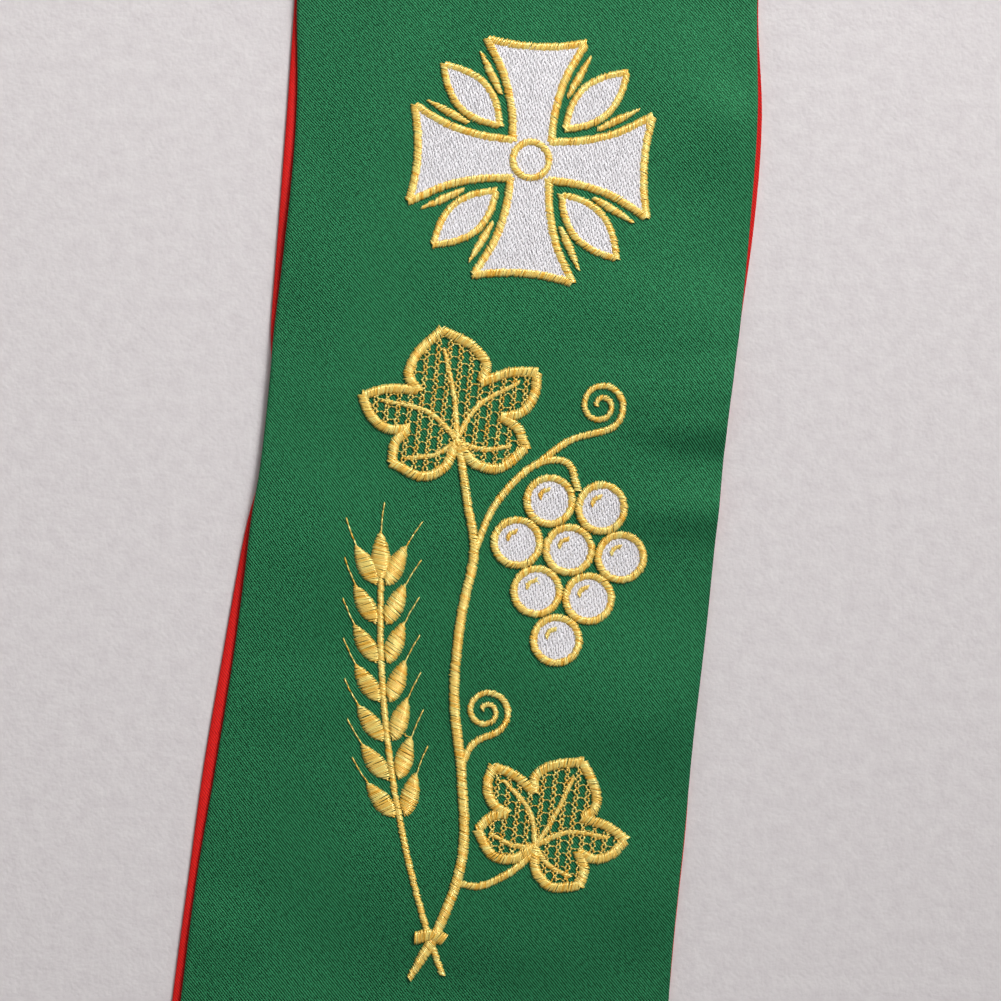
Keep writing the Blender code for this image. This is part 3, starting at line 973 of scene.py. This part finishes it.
# %% [markdown]
# Satin stitch crosses a column from edge to edge, thread beside thread, about 0.42 mm apart. It is sewn
# in a zigzag, so the threads lie aslant like the strands of a rope, and the needle is never quite on
# the line. A textured tube would be cheaper, but its edge would be too clean, so each thread is real.

# %% Satin stitch
PITCH = 0.42
SATIN_THREAD = 0.48
END_REACH = 0.16     # how far past the drawn width a stitch dips into the cloth
MISS = 0.09          # how far the needle strays
SKEW = 1.2           # how far a thread's end is ahead of its middle, in pitches
LOW_ARCH = 0.30
ARCH_GAIN = 0.11     # how much higher the arch is for each millimetre of width
WIDEST = 3.0         # the width up to which it gains
LAYER_HEIGHT = 0.22
CROSS_FROM = 285     # along the band, below the cross and above the vine


def satin_rows(path, width, layer):
    """Stitches across a path. A wide one arches higher, and each misses its line by a little."""
    line = even(path, PITCH)
    many = len(line)
    widths = np.full(many, width) if np.isscalar(width) else np.interp(
        np.linspace(0, 1, many), np.linspace(0, 1, len(width)), width)
    ahead = np.gradient(line, axis=0)
    ahead /= np.linalg.norm(ahead, axis=1)[:, None]
    normal = np.stack((-ahead[:, 1], ahead[:, 0]), axis=1)
    half = np.stack((widths / 2, widths / 2), axis=1) + END_REACH + rng.normal(0, MISS, (many, 2))
    skew = rng.normal(SKEW, 0.18, (many, 1)) * PITCH
    start = line - normal * half[:, :1] - ahead * skew
    end = line + normal * half[:, 1:] + ahead * skew
    arch = LOW_ARCH + ARCH_GAIN * np.minimum(widths, WIDEST) + rng.normal(0, 0.03, many)
    thick = rng.normal(SATIN_THREAD, 0.03, many)
    base = np.full(many, 0.10 + LAYER_HEIGHT * layer)
    return np.column_stack((start, end, thick, arch, base))


gold_stitch = model_stitch("gold_stitch", 5, gold_thread, 2.8, 0.6)
cross_rows, vine_rows, leaf_rows = [], [], []
for path, width, layer in satins:
    rows = satin_rows(path, width, layer)
    if path[:, 1].min() > CROSS_FROM:
        cross_rows.append(rows)
    elif layer == 1:
        leaf_rows.append(rows)
    else:
        vine_rows.append(rows)
sew("cross_satin_border", np.vstack(cross_rows), gold_stitch)
sew("vine_satin_edges", np.vstack(leaf_rows), gold_stitch)
sew("vine_satin_stems", np.vstack(vine_rows), gold_stitch)

# %% [markdown]
# Filling stitch covers a wide shape with close rows of flat stitches, 2 mm long, which run along the
# band. Each row starts a quarter or half a stitch further on or back, so the needle holes stand in a
# fine pattern of dots. The rows are cut where they cross the shape's outline. White thread scatters
# light and hardly gleams, so a plain white sheet would do from afar, but not this close.

# %% White filling stitch
FILL_PITCH = 0.36
FILL_THREAD = 0.50
FILL_STITCH = 2.1
FILL_STEPS = (0.0, 0.5, 0.25, 0.75)     # where each row starts, in stitches
FILL_SLANT = 86.0                       # degrees by which the rows are turned to run along the band
FILL_MARGIN = 0.5                       # no needle hole is nearer to a row's end than about this


def fill_rows(outline):
    """Rows of flat stitches inside a closed outline."""
    turned = placed(outline, turn=-FILL_SLANT)
    rows = []
    heights = np.arange(turned[:, 1].min() + 0.2, turned[:, 1].max(), FILL_PITCH)
    for count, y in enumerate(heights):
        a, b = turned, np.roll(turned, -1, axis=0)
        hit = (a[:, 1] <= y) != (b[:, 1] <= y)
        x = a[hit, 0] + (y - a[hit, 1]) / (b[hit, 1] - a[hit, 1]) * (b[hit, 0] - a[hit, 0])
        x = np.sort(x)
        offset = FILL_STEPS[count % 4] * FILL_STITCH
        for low, high in zip(x[::2], x[1::2]):
            marks = np.arange(math.floor(low / FILL_STITCH) - 1, high / FILL_STITCH + 1)
            marks = marks * FILL_STITCH + offset
            marks = marks[(marks > low + FILL_MARGIN) & (marks < high - FILL_MARGIN)]
            marks = np.concatenate(((low,), marks + rng.normal(0, 0.10, len(marks)), (high,)))
            for start, end in zip(marks[:-1], marks[1:]):
                wobble = rng.normal(0, 0.03, 2)
                rows.append((start, y + wobble[0], end, y + wobble[1]))
    rows = np.array(rows)
    start, end = placed(rows[:, 0:2], turn=FILL_SLANT), placed(rows[:, 2:4], turn=FILL_SLANT)
    many = len(rows)
    arch = 0.14 + rng.normal(0, 0.01, many)
    thick = rng.normal(FILL_THREAD, 0.02, many)
    return np.column_stack((start, end, thick, arch, np.full(many, 0.20)))


white_stitch = model_stitch("white_stitch", 4, white_thread, 6.0, 0.85)
white_rows = [fill_rows(outline) for outline in white_fills]
sew("cross_white_filling", np.vstack(white_rows[:1]), white_stitch)
sew("leaf_and_grape_white_filling", np.vstack(white_rows[1:]), white_stitch)

# %% [markdown]
# Net filling leaves the cloth open: chains of small loops stand in columns, and a thin arched bridge
# joins each chain to the next at every second loop, half a step higher at every second column. Two
# waves that cross each other draw a chain, in short stitches. A see-through picture of a net would
# have no shadow on the cloth, so the net is sewn too.

# %% Gold net filling
CHAIN_STEP = 3.15
LINK = 3.6            # two loops of a chain, and from bridge to bridge
LOOP = 0.66           # half the width of a loop
CHAIN_THREAD, BRIDGE_THREAD = 0.54, 0.34
BRIDGE_RISE = 0.55    # how far a bridge bows along the band
BRIDGE_END = 0.3      # from the middle of a chain to a bridge's end


def inside(outline, points):
    """Which points are inside a closed outline."""
    a, b = outline, np.roll(outline, -1, axis=0)
    x, y = points[:, 0:1], points[:, 1:2]
    crosses = (a[:, 1] <= y) != (b[:, 1] <= y)
    rise = np.where(b[:, 1] == a[:, 1], 1e-9, b[:, 1] - a[:, 1])
    at = a[:, 0] + (y - a[:, 1]) / rise * (b[:, 0] - a[:, 0])
    return (crosses & (x < at)).sum(axis=1) % 2 == 1


def net_rows(outline):
    """Short stitches of chains and bridges, kept where they are inside a closed outline."""
    low, high = outline.min(axis=0), outline.max(axis=0)
    reach = np.linspace(BRIDGE_END, CHAIN_STEP - BRIDGE_END, 4)
    hump = BRIDGE_RISE * np.sin(np.linspace(0, math.pi, 4))
    lines = []
    columns = np.arange(low[0] + 0.8, high[0], CHAIN_STEP)
    for number, x in enumerate(columns):
        y0 = low[1] + (number % 2) * LINK / 2
        y = np.arange(y0, high[1], LINK / 6)
        for side in (-1, 1):
            wave = side * LOOP * np.sin((y - y0) / LINK * 2 * math.pi + math.pi / 4)
            lines.append((np.stack((x + wave, y), axis=1), CHAIN_THREAD))
        for link in np.arange(y0, high[1], LINK):
            lines.append((np.stack((x + reach, link + hump + LINK / 12), axis=1), BRIDGE_THREAD))
    start = np.vstack([line[:-1] for line, thick in lines])
    end = np.vstack([line[1:] for line, thick in lines])
    thick = np.concatenate([np.full(len(line) - 1, thick) for line, thick in lines])
    keep = inside(outline, start) & inside(outline, end)
    start, end, thick = start[keep], end[keep], thick[keep]
    start = start + rng.normal(0, MISS, start.shape)
    end = end + rng.normal(0, MISS, end.shape)
    many = len(start)
    arch = 0.62 + rng.normal(0, 0.08, many)
    return np.column_stack((start, end, thick, arch, np.full(many, 0.0)))


short_stitch = model_stitch("short_stitch", 3, gold_thread, 2.2, 0.6)
sew("leaf_net_filling", np.vstack([net_rows(outline) for outline in nets]), short_stitch)

# %% [markdown]
# The awns of the wheat are single running stitches. Where a stroke ends the machine cuts its thread,
# and here and there a short end is left standing out. The three model stitches have then done their
# work, so they are deleted.

# %% Running stitch and cut ends
RUN_STITCH = 2.1
END_STITCH = 1.0      # a cut end bends more, so it is drawn in shorter pieces
SHORT_PATH = 12       # points; most cut ends have no more
RUN_THREAD = 0.42
CUT_ENDS = 16

for k in rng.choice(len(satins), CUT_ENDS, replace=False):
    tip = satins[k][0][-1]
    bend = rng.normal(0, 1.1, (2, 2))
    runs.append(curve([tip, tip + bend[0], tip + bend[0] + bend[1] * 0.7], step=0.3))


def run_rows(path):
    """One thread, stitch after stitch along a path."""
    line = even(path, RUN_STITCH if len(path) > SHORT_PATH else END_STITCH)
    many = len(line) - 1
    thick, arch, base = np.full(many, RUN_THREAD), np.full(many, 0.42), np.full(many, 0.04)
    return np.column_stack((line[:-1], line[1:], thick, arch, base))


sew("wheat_awns_and_cut_ends", np.vstack([run_rows(path) for path in runs]), gold_stitch)
bpy.ops.object.select_all(action="DESELECT")
for stitch in (gold_stitch, white_stitch, short_stitch):
    stitch.select_set(True)
bpy.ops.object.delete()

# %% [markdown]
# The stole lies on a pale cloth of pressed felt. Felt is matt, because its fibres lie every way. Hairs
# would show them, but this is only a stage, so it is a plain sheet. The fibres are drawn coarser than
# real, as bumps 1.2 mm across, and a faint mottle is the thin and thick places of the felt.

# %% Floor
FLOOR_SIZE = 8.0
FLOOR_GAP = 0.2 * MM      # between the floor and the underside, so that neither shows through
MOTTLE = 4.2 * MM
NAP = 1.2 * MM

bpy.ops.object.select_all(action="DESELECT")
bpy.ops.mesh.primitive_plane_add(size=FLOOR_SIZE, location=(0, 0, -FLOOR_GAP))
floor = bpy.context.object
floor.name = "pale_felt_surface"
bpy.ops.object.transform_apply(location=True, rotation=True, scale=True)
felt, tree, shader = new_material("pale_pressed_felt")
place = add(tree, "ShaderNodeTexCoord").outputs["Object"]
soft = add(tree, "ShaderNodeTexNoise", {
    "Vector": place, "Scale": 1 / MOTTLE, "Detail": 4.0, "Roughness": 0.6,
}).outputs["Fac"]
mottle = add(tree, "ShaderNodeMapRange", {
    "Value": soft, "From Min": 0.33, "From Max": 0.67,
}).outputs["Result"]
colour = add(tree, "ShaderNodeMix", {
    0: mottle, 6: linear("D1CBCC"), 7: linear("D9D4D4"),
}, data_type="RGBA")
fuzz = add(tree, "ShaderNodeTexNoise", {
    "Vector": place, "Scale": 1 / NAP, "Detail": 4.0,
}).outputs["Fac"]
nap = add(tree, "ShaderNodeBump", {"Height": fuzz, "Strength": 0.5, "Distance": 0.36 * MM})
tree.links.new(colour.outputs[2], shader.inputs["Base Color"])
tree.links.new(nap.outputs["Normal"], shader.inputs["Normal"])
shader.inputs["Roughness"].default_value = 0.95
shader.inputs["Specular IOR Level"].default_value = 0.15
floor.data.materials.append(felt)
print("floor:", FLOOR_SIZE, "m,", felt.name)

# %% [markdown]
# The light comes from the upper right, as in the photo: it lights the edges that face it, shades the
# left edge, and makes threads shine that lie across its beam. A part of it is even over the whole
# stole. The rest is a softbox with a grid, aimed past the top of the picture, so that the light falls
# off towards the bottom. A single sun would light the whole picture alike. A pale world fills the
# shadows.

# %% Light
focus = np.array((view_x * MM, view_y * MM, 0.0))
LIGHT_PLACE = focus + np.array((0.51, 0.66, 0.62)) * 2.1
BOX_TARGET = focus + (0.11, 0.41, 0.0)


def lamp(name, kind, energy, target):
    """A light at LIGHT_PLACE, turned so that its beam, its own -Z, meets the target."""
    data = bpy.data.lights.new(name, kind)
    data.energy = energy
    made = bpy.data.objects.new(name, data)
    bpy.context.scene.collection.objects.link(made)
    made.location = LIGHT_PLACE
    away = target - LIGHT_PLACE
    flat_length = math.hypot(away[0], away[1])
    made.rotation_euler = (math.pi / 2 + math.atan2(away[2], flat_length), 0,
                           math.atan2(away[1], away[0]) - math.pi / 2)
    return data


even_light = lamp("even_light", "SUN", 0.30, focus)
even_light.angle = math.radians(34)
softbox = lamp("gridded_softbox", "AREA", 5.65, BOX_TARGET)
softbox.shape = "SQUARE"
softbox.size = 1.1
softbox.spread = math.radians(44)
world = bpy.data.worlds.new("studio")
bpy.context.scene.world = world
world.use_nodes = True
background = world.node_tree.nodes["Background"]
background.inputs["Color"].default_value = (1.0, 0.985, 0.985, 1.0)
background.inputs["Strength"].default_value = 0.29
bpy.context.scene.view_settings.view_transform = "Standard"
print("light at", [round(float(part), 2) for part in LIGHT_PLACE], "m")
